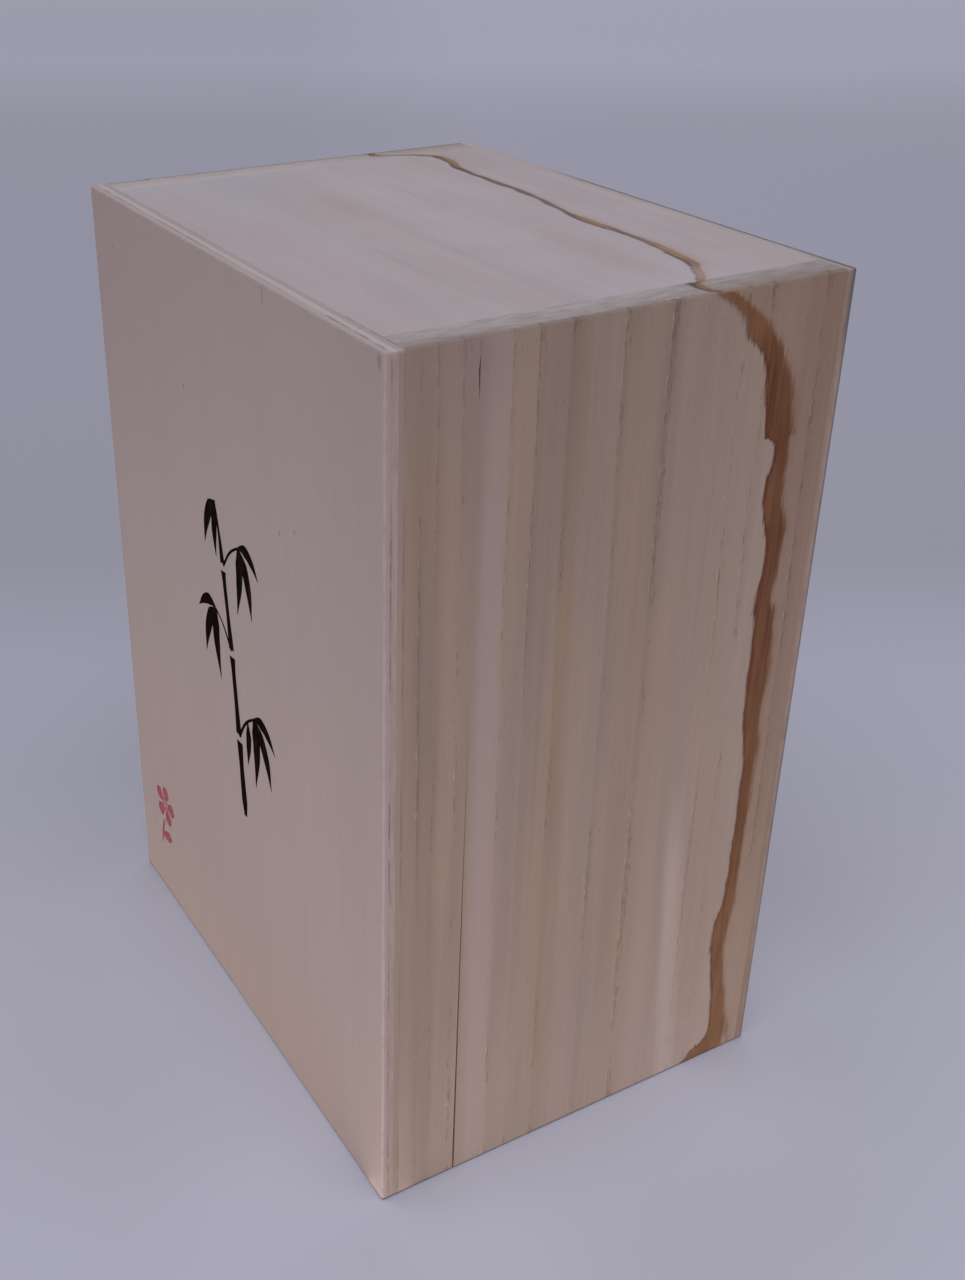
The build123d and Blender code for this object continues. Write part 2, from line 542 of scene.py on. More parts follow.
# Where it runs down the right side: height, and millimetres back from the lid's face; and half its width.
right_mark = [
    (0, 91.5), (3, 93.8), (8, 96.3), (15, 95.6), (27, 93.9), (35, 93.0), (42, 93.4), (50, 94.8),
    (70, 95.0), (90, 95.1), (100, 94.0), (115, 94.1), (126, 93.5), (130, 92.6), (140, 93.5), (146, 93.4),
    (150, 92.4), (155, 91.4), (159, 91.5), (161, 92.1), (166, 92.1), (168, 90.9), (174, 90.0), (182, 88.1),
    (186, 86.5), (190, 83.0), (193, 81.2), (196, 78.2), (200, 72.4),
]
right_mark_width = [
    (0, 6.2), (3, 5.3), (8, 3.1), (15, 2.4), (27, 2.0), (42, 2.5), (50, 2.0), (70, 1.8), (90, 2.1),
    (100, 2.5), (115, 3.0), (126, 2.9), (130, 2.2), (141, 2.1), (148, 2.9), (155, 2.6), (159, 2.4),
    (161, 2.1), (166, 2.1), (168, 3.6), (174, 3.8), (182, 3.1), (186, 2.8), (190, 3.2), (196, 1.9),
    (200, 2.0),
]

# Down the left side, which the photograph doesn't show, it dries out half way.
left_mark = [(0, 90.0), (90, 90.0), (130, 89.0), (165, 86.0), (185, 82.0), (200, 77.0)]
left_mark_width = [(0, 0.3), (70, 0.5), (110, 1.4), (150, 2.2), (185, 2.6), (200, 2.0)]


def marked(tree, axis, place, wood, side=None):
    """Lays the water mark on a board: on its top face, and down its outer side where side gives that line.
    Returns the colour, and how far each point is stained."""
    from_left = total(tree, axis["X"], box_half[0])
    from_back = less(tree, box_half[1], axis["Y"])
    from_face = total(tree, axis["Y"], box_half[1])
    near_side = rise(tree, calc(tree, "ABSOLUTE", axis["X"]), 64.0, 70.5)
    feeds = {
        "Place": place,
        "Offset": less(tree, drawn(tree, from_left, top_mark), from_back),
        "Half Width": drawn(tree, from_left, top_mark_width),
        "Strength": drawn(tree, from_left, top_mark_strength),
        "Core": put(tree, "MapRange", drawn(tree, from_left, top_mark_width), 0.85, 1.25, 0.95, 0.25),
        "Blur": 0.0,
        "Fringe": 3.4,
        "Warmth": scaled(tree, near_side, 0.5, 0.10),
        "Warm": (0.95, 0.83, 0.735, 1.0),
        "Wood": wood,
        "Dark": shown(76, 62, 63),
        "Light": shown(146, 112, 84),
    }
    if side:
        up = rise(tree, facing(tree)["Z"], 0.5, 0.85)
        head = rise(tree, axis["Z"], 184.0, 194.0)
        teeth = swing(tree, noise(tree, place, (0.02, 2.6, 2.6), 3.0, 0.6), 7.5)
        teeth = product(tree, teeth, scaled(tree, head, -0.6, 1.0))
        hung = total(tree, axis["Z"], teeth)
        line, width, strength = side
        on_side = {
            "Offset": less(tree, from_face, drawn(tree, hung, line)),
            "Half Width": drawn(tree, axis["Z"], width),
            "Strength": drawn(tree, axis["Z"], strength),
            "Core": scaled(tree, head, -0.50, 0.60),
            "Blur": product(tree, head, 1.3),
            "Fringe": 1.8,
            "Warmth": 1.0,
        }
        for label, value in on_side.items():
            feeds[label] = put(tree, "Mix", up, None, value, feeds[label])
        foot = rise(tree, axis["Z"], 150.0, 30.0)
        feeds["Warm"] = layer(tree, foot, (0.88, 0.80, 0.73, 1.0), (0.94, 0.855, 0.78, 1.0))
        on_side = {
            "Dark": layer(tree, foot, shown(78, 42, 26), shown(92, 59, 37)),
            "Light": layer(tree, foot, shown(107, 73, 51), shown(115, 81, 58)),
        }
        for label, value in on_side.items():
            feeds[label] = layer(tree, up, value, feeds[label])
    outer_side = rise(tree, calc(tree, "ABSOLUTE", axis["X"]), 65.0, 70.5)
    outside = calc(tree, "MAXIMUM", outer_side, rise(tree, axis["Z"], 194.0, 199.0))
    for label in ("Strength", "Warmth"):
        feeds[label] = product(tree, feeds[label], outside)
    mark = place_effect(tree, tide_mark, feeds)
    return mark["Color"], mark["Stain"]


def finish_surface(tree, shader, colour, rough, height, real, edge_share, edge_colour, relief):
    """Colours the outer edges, with wear on most pieces and painted shade on the back panel's outer ply,
    darkens with painted shade the arris that stands on the table, and feeds a wood's colour, roughness and
    height, which is relief metres deep, to the shader."""
    rub = {"Place": real, "Middle": box_middle, "Half Size": box_half, "Reach": edge_reach}
    edge_mask = place_effect(tree, edge_wear_and_shade, rub)["Edge"]
    # On most pieces the edge colour is wear; on the back panel's outer ply it is painted shade.
    colour = layer(tree, product(tree, edge_mask, edge_share), colour, edge_colour)
    # Painted shade: the arris darkens where it faces down, close to the table.
    faces_down = rise(tree, facing(tree)["Z"], -0.97, -0.80)
    foot_shade = product(tree, rise(tree, split(tree, real)["Z"], 0.55, 0.15), faces_down)
    colour = layer(tree, product(tree, foot_shade, 0.6), colour, shown(62, 52, 50))
    feed(tree, shader.inputs["Base Color"], colour)
    feed(tree, shader.inputs["Roughness"], rough)
    bump = tree.nodes.new("ShaderNodeBump")
    bump.inputs["Distance"].default_value = relief
    feed(tree, bump.inputs["Height"], height)
    feed(tree, shader.inputs["Normal"], bump.outputs["Normal"])


def surface_place(tree, order):
    """Where a point is in the box in millimetres, the same split by axis, the same along, across and through
    the board, and how far its face turns to the end of the grain."""
    real = in_millimetres(tree)
    axis = split(tree, real)
    place = put(tree, "CombineXYZ", *[axis[letter] for letter in order])
    end = rise(tree, calc(tree, "ABSOLUTE", facing(tree)[order[0]]), 0.5, 0.85)
    return real, axis, place, end


def paulownia(
    name, order, lines, tones, tints, figure, ends,
    bleached=None, clouds=0.0, drift=0.0, mark=False, side=None, wisp=False, blotches=(),
):
    """One board's finish. order names the axes along, across and through it. lines gives its growth lines
    in millimetres from the lid's face, tones how deep its colour is there, and drift how far the lines lean
    over its height. bleached holds the tints of a top face that has lost most of its figure, clouds is how
    uneven its tone is, and side the water mark down an outer side: its line, half width and strength. wisp
    lays a pale streak near the foot. Each blotch is (from the left, height, from the face, its reach each
    way, strength, colour)."""
    finish, tree, shader = blank_finish(name, wood_gloss)
    real, axis, place, end = surface_place(tree, order)
    from_face = total(tree, axis["Y"], box_half[1])
    leaning = scaled(tree, axis["Z"], drift / box_height, -drift)
    wander = swing(tree, noise(tree, place, (0.012, 0.03, 0.03), 1.0), 2.0)
    across = total(tree, from_face, leaning, wander)
    first, last = lines[0] - 12, lines[-1] + 12
    counted = [(first, 0), *[(line, i + 1) for i, line in enumerate(lines)], (last, len(lines) + 1)]
    tone = drawn(tree, across, tones)
    pale, deep, tan = tints
    if wisp:
        middle = scaled(tree, axis["Z"], -0.07, 80.6)
        away = calc(tree, "ABSOLUTE", less(tree, from_face, middle))
        whitened = product(tree, rise(tree, away, 4.2, 0.6), rise(tree, axis["Z"], 95.0, 55.0))
        tone = scaled(tree, whitened, -0.45, tone)
        pale = layer(tree, whitened, pale, shown(144, 127, 122))
    # Painted light: the wood is paler towards the foot, where more light falls.
    tone = scaled(tree, rise(tree, axis["Z"], 55.0, 5.0), -0.20, tone)
    cloud = noise(tree, real, (0.03, 0.03, 0.03), 2.0)
    tone = total(tree, tone, swing(tree, cloud, clouds))
    soak = total(tree, rise(tree, axis["Z"], 190.0, 201.0), rise(tree, axis["Z"], 5.0, 0.0))
    if bleached:
        up = rise(tree, facing(tree)["Z"], 0.5, 0.85)
        pale, deep, tan = [layer(tree, up, under, over) for under, over in zip(tints, bleached)]
        figure = scaled(tree, up, 0.12 - figure, figure)

    # The end grain is lighter away from the outer edge, and duller past the water mark.
    lighter = put(tree, "MapRange", calc(tree, "ABSOLUTE", axis["X"]), 71.0, 63.5, 0.90, 1.12)
    lighter = product(tree, lighter, put(tree, "MapRange", from_face, 60.0, 76.0, 1.0, 0.89))
    ends = [put(tree, "VectorMath", tint[:3], None, None, lighter, operation="SCALE") for tint in ends]
    if side:
        # Within about a millimetre of the outer side the top end grain gives way to the side grain's darker
        # colour, as on a rounded arris: partly the side grain's own colour, partly painted shade where it
        # turns from the light.
        from_side = less(tree, box_half[0], calc(tree, "ABSOLUTE", axis["X"]))
        nicked = total(tree, from_side, swing(tree, noise(tree, real, (0.1, 0.6, 0.1), 3.0, 0.7), 2.4))
        rounded_and_shaded = product(tree, rise(tree, nicked, 1.35, 0.85), rise(tree, axis["Z"], 199.2, 199.7))
        end = product(tree, end, less(tree, 1.0, rounded_and_shaded))
    feeds = {
        "Place": place,
        "Rings": drawn(tree, across, counted, straight=True),
        "Ring Width": 9.0,
        "Tone": tone,
        "Figure": figure,
        "Soak": product(tree, soak, figure),
        "End Grain": end,
        "Pale": pale,
        "Deep": deep,
        "Tan": tan,
        "Line": shown(92, 68, 58),
        "End": ends[0],
        "End Line": ends[1],
    }
    wood = place_effect(tree, bare_wood, feeds)
    colour = wood["Color"]

    # Hairlines of glue under the two panels; and painted shade in the seam between lid and case, faint along
    # it and dark where it is chipped near the head.
    joints = [(face_joint, 0.6), (back_joint, 0.6)]
    if side:
        near_head = scaled(tree, rise(tree, axis["Z"], 187.0, 191.0), 0.6, 0.1)
        joints.append((seam, product(tree, near_head, rise(tree, axis["Z"], 200.0, 199.4))))
    for joint, strength in joints:
        joint_mark = place_effect(tree, joint_line, {"Place": real, "From Face": from_face, "Joint": joint})["Line"]
        colour = layer(tree, product(tree, joint_mark, strength), colour, shown(84, 66, 60))
    for left, height, depth_in, reach, strength, blotch_colour in blotches:
        middle = (left - box_half[0], depth_in - box_half[1], height)
        away = from_spot(tree, put(tree, "VectorMath", real, middle, operation="SUBTRACT"), reach)
        away = total(tree, away, swing(tree, noise(tree, real, (0.12, 0.12, 0.12), 3.0), 0.9))
        blotch = product(tree, rise(tree, away, 1.2, 0.3), strength)
        colour = layer(tree, blotch, colour, blotch_colour)
    rough = wood["Roughness"]
    if mark:
        colour, stained = marked(tree, axis, place, colour, side)
        rough = scaled(tree, stained, stain_dullness, rough)
    low_edge = rise(tree, axis["Z"], 3.0, 1.0)
    edge_colour = layer(tree, low_edge, shown(150, 138, 134), shown(126, 88, 62))
    finish_surface(tree, shader, colour, rough, wood["Height"], real, 0.22, edge_colour, board_relief)
    return finish


def dress(finish, slot, *names):
    """Gives CAD pieces their finish."""
    for name in names:
        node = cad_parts[name]
        node.data.materials.clear()
        node.data.materials.append(finish)


side_tints = (shown(136, 118, 111), shown(110, 92, 83), shown(119, 101, 84))
side_ends = (shown(153, 143, 144), shown(136, 126, 127))
right_lines = [7.0, 10.2, 15.2, 25.5, 31.0, 38.2, 50.2, 60.8, 79.0, 84.5, 98.5]
right_tones = [
    (0, 0.55), (5, 0.66), (7.5, 0.78), (10.5, 0.72), (12, 0.55), (15, 0.5), (19, 0.55), (20.6, 0.28),
    (23, 0.15), (25.2, 0.2), (26.5, 0.42), (31, 0.52), (33, 0.66), (37.6, 0.56), (38.6, 0.74), (42, 0.64),
    (45, 0.45), (49.5, 0.42), (51, 0.6), (60, 0.58), (62, 0.45), (68, 0.34), (76, 0.32), (84, 0.2),
    (90, 0.17), (96, 0.4), (106, 0.45),
]
right_strength = [(0, 0.92), (30, 0.97), (200, 0.98)]
right_wood = paulownia(
    "right_board_wood", "ZYX", right_lines, right_tones, side_tints, 1.0, side_ends,
    drift=1.6, mark=True, side=(right_mark, right_mark_width, right_strength), wisp=True,
    blotches=(
        (136.0, 200.0, 70.6, (3.0, 1.6, 1.0), 0.9, shown(70, 60, 62)),
        (142.5, 95.0, 22.8, (4.0, 3.4, 150.0), 0.6, shown(134, 117, 116)),
        (142.5, 52.0, 85.0, (4.0, 8.0, 50.0), 0.5, shown(130, 108, 96)),
        (142.5, 202.0, 12.0, (4.0, 17.0, 22.0), 0.5, shown(122, 104, 102)),
    ),
)
dress(right_wood, "paulownia_board", "case_right_board", "lid_right_board")

left_lines = [8.0, 14.5, 27.5, 36.0, 46.0, 58.0, 66.0, 73.5, 88.0, 97.0]
left_tones = [(0, 0.5), (15, 0.3), (30, 0.6), (45, 0.4), (60, 0.65), (75, 0.35), (90, 0.5), (106, 0.45)]
left_strength = [(0, 0.0), (60, 0.0), (130, 0.6), (200, 0.85)]
left_ends = (shown(162, 151, 154), shown(154, 143, 146))
left_wood = paulownia(
    "left_board_wood", "ZYX", left_lines, left_tones, side_tints, 1.0, left_ends,
    drift=-1.2, mark=True, side=(left_mark, left_mark_width, left_strength),
    # The blotch is painted shade, a dark mark at the seam where it is chipped at the top of the left side.
    blotches=((0.3, 200.0, 14.0, (1.2, 1.6, 6.0), 0.7, shown(88, 74, 70)),),
)
dress(left_wood, "paulownia_board", "case_left_board", "lid_left_board")


# The top and bottom boards
# Two shorter paulownia boards, butted and glued between the side boards, with their grain across the box.
# The top one is paler and almost without figure, and the water mark crosses it from side to side.

top_tints = (shown(164, 154, 160), shown(147, 135, 137), shown(157, 142, 140))
top_lines = [14.0, 30.0, 44.0, 61.0, 82.0, 98.0]
top_tones = [(0, 0.35), (20, 0.2), (40, 0.35), (55, 0.15), (72, 0.25), (85, 0.3), (106, 0.4)]
top_wood = paulownia(
    "top_board_wood", "XYZ", top_lines, top_tones, side_tints, 0.8, side_ends,
    bleached=top_tints, clouds=1.1, mark=True,
    blotches=(
        (106.0, 200.0, 69.0, (26.0, 6.5, 8.0), 0.24, shown(140, 115, 97)),
        (48.0, 200.0, 42.0, (18.0, 5.0, 8.0), 0.15, shown(138, 112, 92)),
        (8.0, 200.0, 26.0, (38.0, 36.0, 8.0), 0.34, shown(147, 148, 160)),
        (74.0, 200.0, 4.0, (75.0, 24.0, 8.0), 0.35, shown(152, 136, 139)),
    ),
)
dress(top_wood, "paulownia_board", "case_top_board", "lid_top_board")
bottom_lines = [11.0, 24.0, 39.0, 50.0, 67.0, 80.0, 95.0]
bottom_wood = paulownia(
    "bottom_board_wood", "XYZ", bottom_lines, top_tones, side_tints, 0.8, side_ends,
)
dress(bottom_wood, "paulownia_board", "case_bottom_board", "lid_bottom_board")


# The rim
# Four thin paulownia strips, glued inside the mouth of the case, that stand out of it into the lid.
# Their front edges are bevelled, so that the lid slides on, and they are cleaner than the outside.

rim_tints = (shown(168, 150, 142), shown(144, 123, 113), shown(150, 132, 116))
rim_tones = [(0, 0.3), (20, 0.2), (40, 0.45), (106, 0.3)]
upright_rim = paulownia(
    "upright_rim_wood", "ZYX", [12.0, 19.0, 27.0, 33.0, 46.0], rim_tones, rim_tints, 0.8, side_ends,
)
dress(upright_rim, "paulownia_rim", "rim_left", "rim_right")
level_rim = paulownia(
    "level_rim_wood", "XYZ", [10.0, 16.0, 24.0, 36.0, 44.0], rim_tones, rim_tints, 0.8, side_ends,
)
dress(level_rim, "paulownia_rim", "rim_top", "rim_bottom")


# The two panels
# The lid and the back are thin three-ply sheets, glued flush on the edges of the boards. The outer plies run
# up the box and the core runs across it, so the edges show pale plies with hairlines of glue between them.

jointed_plies = ("lid_face_ply", "lid_core_ply", "lid_inner_ply", "back_inner_ply", "back_core_ply")
ply_joints = [behind_face(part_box(name)[1][1]) for name in jointed_plies]
ply_joint_strengths = [0.75, 0.12, 0.5, 0.25, 0.5]
ply_relief = 0.00003
lid_flecks = [
    (13.0, 188.2, 0.6, 0.8), (52.0, 166.0, 0.6, 0.8), (99.5, 149.5, 0.7, 0.9), (106.5, 152.5, 0.5, 0.6),
    (95.2, 197.3, 0.5, 2.2), (140.7, 198.0, 0.9, 2.4),
]


def plywood(
    name, order, ring_width, tints, figure, arris, lit, edge_shade=0.0, arris_share=0.45, corner_shade=0.0, flecks=(),
):
    """The finish of one ply. order names the axes along, across and through it. arris is the colour of its
    worn edges, on the back panel's outer ply a painted shade, and lit is a colour of painted light for its
    top edges. Painted shade darkens the edges of the lid's face a little and those of the back panel more,
    and lies along the arris of the back panel near its top right corner. Each fleck is a small dark spot at
    (from the left, height, half width, half height)."""
    finish, tree, shader = blank_finish(name, wood_gloss)
    real, axis, place, end = surface_place(tree, order)
    from_face = total(tree, axis["Y"], box_half[1])
    wander = swing(tree, noise(tree, place, (0.008, 0.015, 0.015), 3.0), 22.0)
    across = total(tree, wander, split(tree, place)["Y"])
    cloud = noise(tree, place, (0.008, 0.02, 0.02), 3.0)
    pale, deep, tan = tints
    feeds = {
        "Place": place,
        "Rings": calc(tree, "DIVIDE", total(tree, across, 500.0), ring_width),
        "Ring Width": ring_width,
        "Tone": total(tree, 0.4, swing(tree, cloud, 0.9)),
        "Figure": figure,
        "Soak": 0.0,
        "End Grain": end,
        "Pale": pale,
        "Deep": deep,
        "Tan": tan,
        "Line": shown(98, 80, 74),
        "End": tints[0],
        "End Line": tints[1],
    }
    wood = place_effect(tree, bare_wood, feeds)

    # It is warmer towards the foot. The edges are darker there, and painted light makes the lid's face
    # lighter, but for a strip along its right edge, which painted shade darkens.
    normal = facing(tree)
    on_edge = rise(tree, calc(tree, "ABSOLUTE", normal["Y"]), 0.7, 0.3)
    on_face = rise(tree, normal["Y"], -0.3, -0.7)
    near_right = rise(tree, axis["X"], 38.0, 62.0)
    warmed = layer(tree, 1.0, wood["Color"], (1.02, 0.985, 0.93, 1.0), "MULTIPLY")
    colour = layer(tree, rise(tree, axis["Z"], 130.0, 0.0), wood["Color"], warmed)
    # Painted light lightens the lid's face low down, away from its right edge.
    foot = product(tree, rise(tree, axis["Z"], 40.0, 0.0), less(tree, 1.0, near_right), on_face)
    colour = layer(tree, foot, colour, layer(tree, 1.0, colour, (1.09, 1.065, 1.02, 1.0), "MULTIPLY"))
    darkening = scaled(tree, put(tree, "MapRange", axis["Z"], 140.0, 0.0, 0.0, -0.2), on_edge, 1.0)
    # Painted shade darkens the lid's face along its right edge.
    darkening = scaled(tree, product(tree, near_right, on_face), -0.055, darkening)
    colour = put(tree, "VectorMath", colour, None, None, darkening, operation="SCALE")
    # Painted shade darkens the edges, a little on the lid's face and more on the back panel.
    colour = layer(tree, product(tree, on_edge, edge_shade), colour, shown(84, 80, 92))
    # Painted light: faces that look up take the lit colour.
    colour = layer(tree, product(tree, rise(tree, normal["Z"], 0.5, 0.85), 0.8), colour, lit)
    # Painted shade along the back panel's arris near its top right corner, and a little on its top edges
    # near the right.
    if corner_shade:
        from_back = total(tree, less(tree, box_half[1], axis["Y"]), swing(tree, cloud, 0.8))
        speckled = total(tree, axis["Z"], swing(tree, noise(tree, real, (0.5, 1.0, 0.5), 3.0), 14.0))
        on_top, on_right = rise(tree, normal["Z"], 0.2, 0.5), rise(tree, normal["X"], 0.2, 0.5)
        along_top = product(tree, on_top, rise(tree, axis["X"], -40.0, -14.0))
        corner = product(tree, on_right, rise(tree, speckled, 180.0, 191.0))
        near_back = rise(tree, from_back, 1.7, 1.0)
        corner_shade_share = product(tree, calc(tree, "MAXIMUM", along_top, corner), near_back, corner_shade)
        greyed = product(tree, on_top, rise(tree, axis["X"], 54.0, 68.0))
        corner_shade_share = scaled(tree, greyed, 0.25, corner_shade_share)
        colour = layer(tree, corner_shade_share, colour, shown(80, 77, 84))
    for joint, strength in zip(ply_joints, ply_joint_strengths):
        joint_mark = place_effect(tree, joint_line, {"Place": real, "From Face": from_face, "Joint": joint})["Line"]
        colour = layer(tree, product(tree, joint_mark, on_edge, strength), colour, shown(84, 66, 62))
    for left, height, half_width, half_height in flecks:
        aside = less(tree, axis["X"], left - box_half[0])
        above = less(tree, axis["Z"], height)
        away = from_spot(tree, put(tree, "CombineXYZ", aside, 0.0, above), (half_width, 1.0, half_height))
        away = total(tree, away, swing(tree, noise(tree, real, (1.2, 1.2, 0.5), 2.0), 1.4))
        fleck = product(tree, rise(tree, away, 1.1, 0.2), 0.5)
        colour = layer(tree, fleck, colour, shown(92, 74, 68))
    rough, height = wood["Roughness"], wood["Height"]
    finish_surface(tree, shader, colour, rough, height, real, arris_share, arris, ply_relief)
    return finish


face_tints = (shown(143, 128, 128), shown(139, 123, 122), shown(142, 126, 124))
lid_core_tints = (shown(144, 126, 123), shown(133, 115, 111), shown(139, 121, 116))
lid_inner_tints = (shown(130, 113, 108), shown(118, 101, 95), shown(124, 107, 99))
back_inner_tints = (shown(129, 108, 98), shown(112, 92, 83), shown(118, 96, 84))
back_core_tints = (shown(136, 116, 108), shown(124, 103, 94), shown(130, 109, 97))
pale_arris = shown(162, 146, 141)
# A painted shade for the back panel's outer arris.
shaded_arris = shown(84, 80, 90)
back_top = shown(170, 159, 163)
face_veneer = plywood(
    "face_veneer", "ZXY", 23.0, face_tints, 0.05, pale_arris, shown(159, 147, 150),
    edge_shade=0.10, flecks=lid_flecks,
)
dress(face_veneer, "ply_veneer", "lid_face_ply")
lid_core = plywood("lid_core_veneer", "XZY", 9.0, lid_core_tints, 0.3, pale_arris, shown(171, 160, 161))
dress(lid_core, "ply_core", "lid_core_ply")
lid_inner = plywood("lid_inner_veneer", "ZXY", 17.0, lid_inner_tints, 0.35, pale_arris, shown(155, 144, 149))
dress(lid_inner, "ply_veneer", "lid_inner_ply")
back_inner = plywood(
    "back_inner_veneer", "ZXY", 17.0, back_inner_tints, 0.35, pale_arris, back_top, corner_shade=0.65,
)
dress(back_inner, "ply_veneer", "back_inner_ply")
back_core = plywood("back_core_veneer", "XZY", 9.0, back_core_tints, 0.3, pale_arris, back_top, corner_shade=0.65)
dress(back_core, "ply_core", "back_core_ply")
back_veneer = plywood(
    "back_veneer", "ZXY", 13.0, back_core_tints, 0.5, shaded_arris, back_top,
    edge_shade=0.75, arris_share=0.7, corner_shade=0.65,
)
dress(back_veneer, "ply_veneer", "back_outer_ply")


# The ink
# A sprig of bamboo, brushed on the lid in black ink, and a small plum blossom stamped low on its left in
# red. The ink has sunk into the veneer, so it lies flat on it, and the wood shows through where it is thin.

def make_brush_strokes():
    """Turns curves that lie on the lid's face into flat strokes, as wide as each curve's radius says."""
    tree = bpy.data.node_groups.new("brush_strokes", "GeometryNodeTree")
    takes = {
        "Geometry": "Geometry",
        "Points": "Int",
        "Ink Depth": "Float",
        "Merge": "Float",
        "Ink": "Material",
    }
    for label, kind in takes.items():
        tree.interface.new_socket(name=label, in_out="INPUT", socket_type="NodeSocket" + kind)
    tree.interface.new_socket(name="Geometry", in_out="OUTPUT", socket_type="NodeSocketGeometry")
    given = tree.nodes.new("NodeGroupInput").outputs
    result = tree.nodes.new("NodeGroupOutput").inputs

    def step(kind, feeds, **settings):
        """Adds a geometry node, feeds its named inputs and returns its first output."""
        node = tree.nodes.new("GeometryNode" + kind)
        for name, value in settings.items():
            setattr(node, name, value)
        for label, value in feeds.items():
            feed(tree, node.inputs[label], value)
        return node.outputs[0]

    path = step("ResampleCurve", {"Curve": given["Geometry"], "Count": given["Points"]})
    path = step("SetCurveNormal", {"Curve": path, "Normal": (0.0, 1.0, 0.0)}, mode="FREE")
    width = step("CurvePrimitiveLine", {"Start": (0.0, 1.0, 0.0), "End": (0.0, -1.0, 0.0)})
    ribbon = step("CurveToMesh", {"Curve": path, "Profile Curve": width, "Scale": step("InputRadius", {})})
    raised = step("ExtrudeMesh", {"Mesh": ribbon, "Offset Scale": given["Ink Depth"], "Individual": False})
    both = tree.nodes.new("GeometryNodeJoinGeometry")
    for mesh in (raised, step("FlipFaces", {"Mesh": ribbon})):
        tree.links.new(mesh, both.inputs[0])
    closed = step("MergeByDistance", {"Geometry": both.outputs[0], "Distance": given["Merge"]})
    solid = step("RealizeInstances", {"Geometry": closed})
    feed(tree, result["Geometry"], step("SetMaterial", {"Geometry": solid, "Material": given["Ink"]}))
    return tree


def ink(name, colour, worn_colour, worn):
    """Dry ink in the veneer, worn away along the fibres in places."""
    finish, tree, shader = blank_finish(name, 0.0)
    real = in_millimetres(tree)
    fibre = noise(tree, real, (2.2, 2.2, 0.10), 4.0, 0.65)
    cloud = noise(tree, real, (0.3, 0.3, 0.3), 3.0)
    thin = rise(tree, total(tree, fibre, swing(tree, cloud, 0.5)), 0.52, 0.78)
    colour = layer(tree, product(tree, thin, worn), colour, worn_colour)
    feed(tree, shader.inputs["Base Color"], colour)
    feed(tree, shader.inputs["Roughness"], scaled(tree, fibre, 0.3, 0.45))
    return finish


brush_strokes = make_brush_strokes()
lid_face = box_low[1]
stroke_points = 28
ink_depth = 0.00002
stroke_lift = 0.000001
stroke_merge = 0.000002


def brushed(name, strokes, finish):
    """One piece of all the strokes, each a list of (from the left, height, half width) in millimetres."""
    data = bpy.data.curves.new(name + "_paths", "CURVE")
    data.dimensions = "3D"
    for index, stroke in enumerate(strokes):
        spline = data.splines.new("BEZIER")
        spline.bezier_points.add(len(stroke) - 1)
        for point, (left, height, half_width) in zip(spline.bezier_points, stroke):
            x, z = (left - box_half[0]) / mm_per_metre, height / mm_per_metre
            point.co = (x, lid_face - index * stroke_lift, z)
            point.radius = half_width / mm_per_metre
            point.handle_left_type = "AUTO"
            point.handle_right_type = "AUTO"
    paths = bpy.data.objects.new(name + "_paths", data)
    bpy.context.scene.collection.objects.link(paths)
    modifier = paths.modifiers.new("strokes", "NODES")
    modifier.node_group = brush_strokes
    values = {"Points": stroke_points, "Ink Depth": ink_depth, "Merge": stroke_merge, "Ink": finish}
    for item in brush_strokes.interface.items_tree:
        if item.in_out == "INPUT" and item.name in values:
            modifier[item.identifier] = values[item.name]
    drawn_paths = paths.evaluated_get(bpy.context.evaluated_depsgraph_get())
    mesh = bpy.data.meshes.new_from_object(drawn_paths)
    bpy.data.objects.remove(paths)
    piece = bpy.data.objects.new(name, mesh)
    bpy.context.scene.collection.objects.link(piece)
    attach(piece, "lid")


stalk = [
    [(75.3, 64.0, 0.7), (75.0, 68.0, 1.5), (74.2, 78.0, 1.2), (73.8, 84.5, 1.6)],
    [(73.6, 86.4, 1.5), (73.0, 94.0, 1.1), (72.2, 103.0, 1.1), (71.9, 106.5, 1.5)],
    [(71.7, 108.4, 1.4), (70.6, 117.0, 0.9), (69.5, 125.0, 1.0), (69.2, 127.5, 1.3)],
    [(69.0, 129.4, 1.2), (67.9, 136.0, 0.7), (66.8, 141.0, 0.45), (66.2, 144.0, 0.15)],
]
twigs = [
    [(73.8, 86.0, 0.5), (78.0, 92.0, 0.4), (82.5, 95.5, 0.3)],
    [(71.6, 108.0, 0.45), (67.5, 113.0, 0.35), (63.8, 115.5, 0.3)],
    [(69.4, 129.0, 0.4), (73.5, 134.0, 0.35), (78.0, 137.0, 0.3)],
]
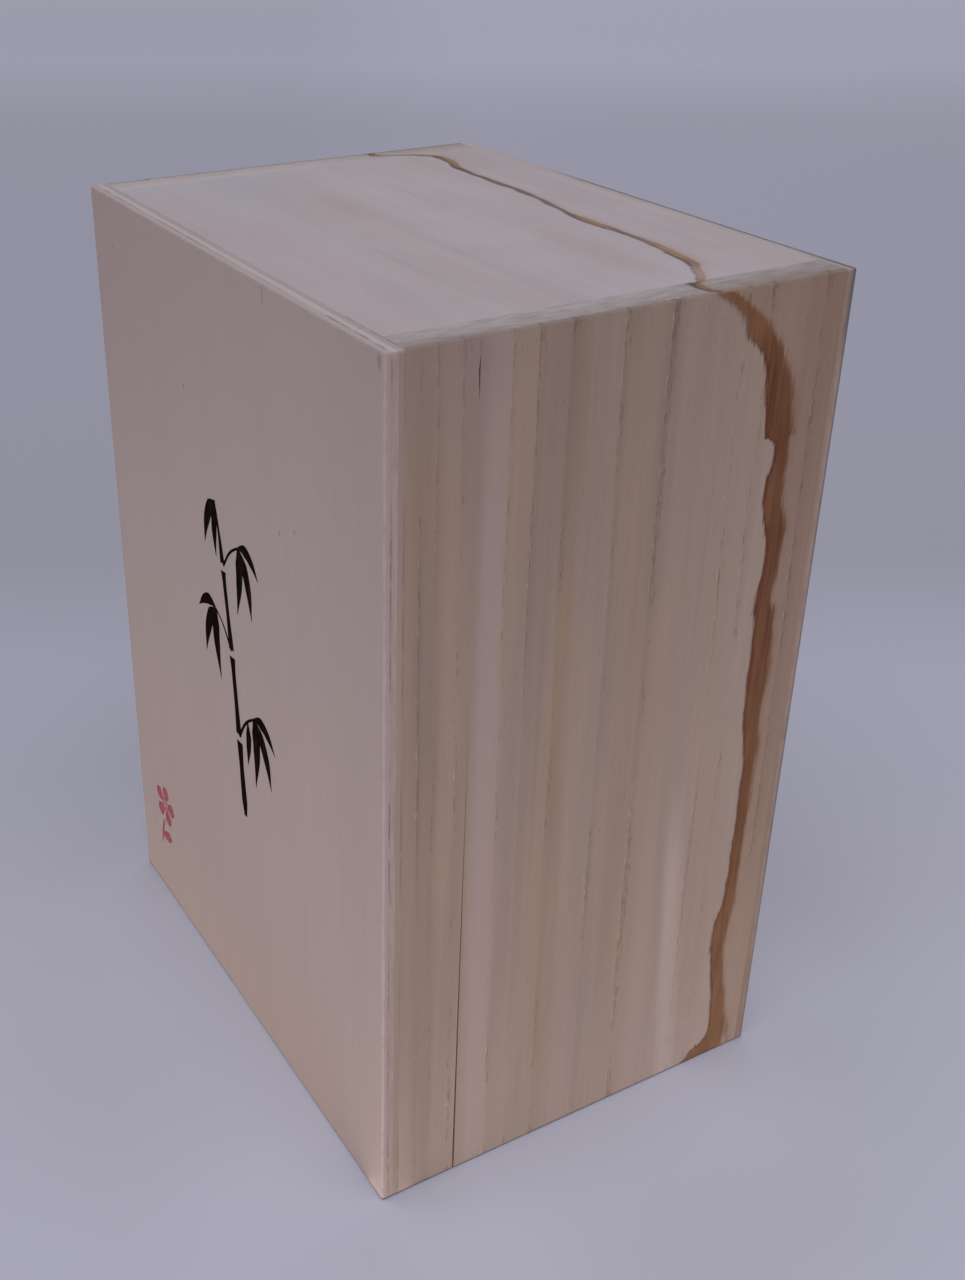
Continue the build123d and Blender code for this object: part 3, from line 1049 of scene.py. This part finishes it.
leaves = [
    [(82.5, 95.5, 0.3), (85.6, 92.6, 1.9), (88.6, 87.8, 1.6), (90.8, 80.5, 0.05)],
    [(82.2, 95.2, 0.3), (83.2, 91.5, 2.0), (83.4, 86.0, 1.7), (82.2, 76.5, 0.05)],
    [(82.6, 95.6, 0.3), (86.4, 96.3, 1.6), (89.6, 95.0, 1.3), (93.5, 91.5, 0.05)],
    [(79.0, 92.8, 0.3), (79.2, 89.0, 1.4), (78.9, 85.5, 1.2), (78.2, 80.5, 0.05)],
    [(63.8, 115.5, 0.3), (60.8, 112.6, 1.9), (58.4, 108.0, 1.6), (56.6, 101.0, 0.05)],
    [(63.9, 115.3, 0.3), (63.2, 111.6, 2.0), (63.3, 106.0, 1.7), (64.8, 97.0, 0.05)],
    [(63.6, 115.7, 0.3), (60.0, 116.2, 1.5), (57.0, 115.0, 1.2), (53.5, 112.0, 0.05)],
    [(78.0, 137.0, 0.3), (80.6, 133.6, 1.8), (82.6, 128.6, 1.5), (83.8, 121.5, 0.05)],
    [(77.8, 136.8, 0.3), (78.2, 132.8, 1.8), (77.8, 127.6, 1.5), (76.2, 119.8, 0.05)],
    [(78.2, 137.2, 0.3), (81.6, 137.6, 1.5), (84.6, 136.2, 1.2), (88.0, 133.0, 0.05)],
    [(66.3, 143.6, 0.3), (63.6, 141.4, 1.8), (61.2, 137.4, 1.5), (59.4, 131.0, 0.05)],
    [(66.2, 143.4, 0.3), (65.6, 139.8, 1.6), (65.2, 135.6, 1.3), (65.6, 129.6, 0.05)],
]
black_ink = ink("black_ink", shown(20, 12, 12), shown(60, 48, 46), 0.4)
brushed("ink_sprig", stalk + twigs + leaves, black_ink)


def blossom(left, height, size, turn, petals=5):
    """Round petals about a middle, with a stamen between each petal and the next."""
    petal_path = [(0.26, 0.05), (0.45, 0.24), (0.72, 0.34), (0.92, 0.22), (1.0, 0.06)]
    stamen_path = [(0.06, 0.04), (0.20, 0.05), (0.34, 0.08)]
    strokes = []
    for petal in range(petals):
        for path, between in ((petal_path, 0.0), (stamen_path, 0.5)):
            angle = math.radians(turn + 360 / petals * (petal + between))
            across, up = size * math.sin(angle), size * math.cos(angle)
            strokes.append([(left + out * across, height + out * up, size * half) for out, half in path])
    return strokes


blossom_stem = [
    [(14.2, 16.6, 0.35), (15.2, 21.0, 0.6), (16.8, 25.5, 0.45)],
    [(15.0, 19.4, 0.3), (17.6, 20.4, 1.5), (19.8, 21.0, 1.7), (21.6, 21.2, 0.4)],
]
red_ink = ink("red_ink", shown(150, 80, 91), shown(150, 114, 114), 0.6)
brushed("red_blossom", blossom(18.4, 31.6, 6.4, 12.0) + blossom_stem, red_ink)
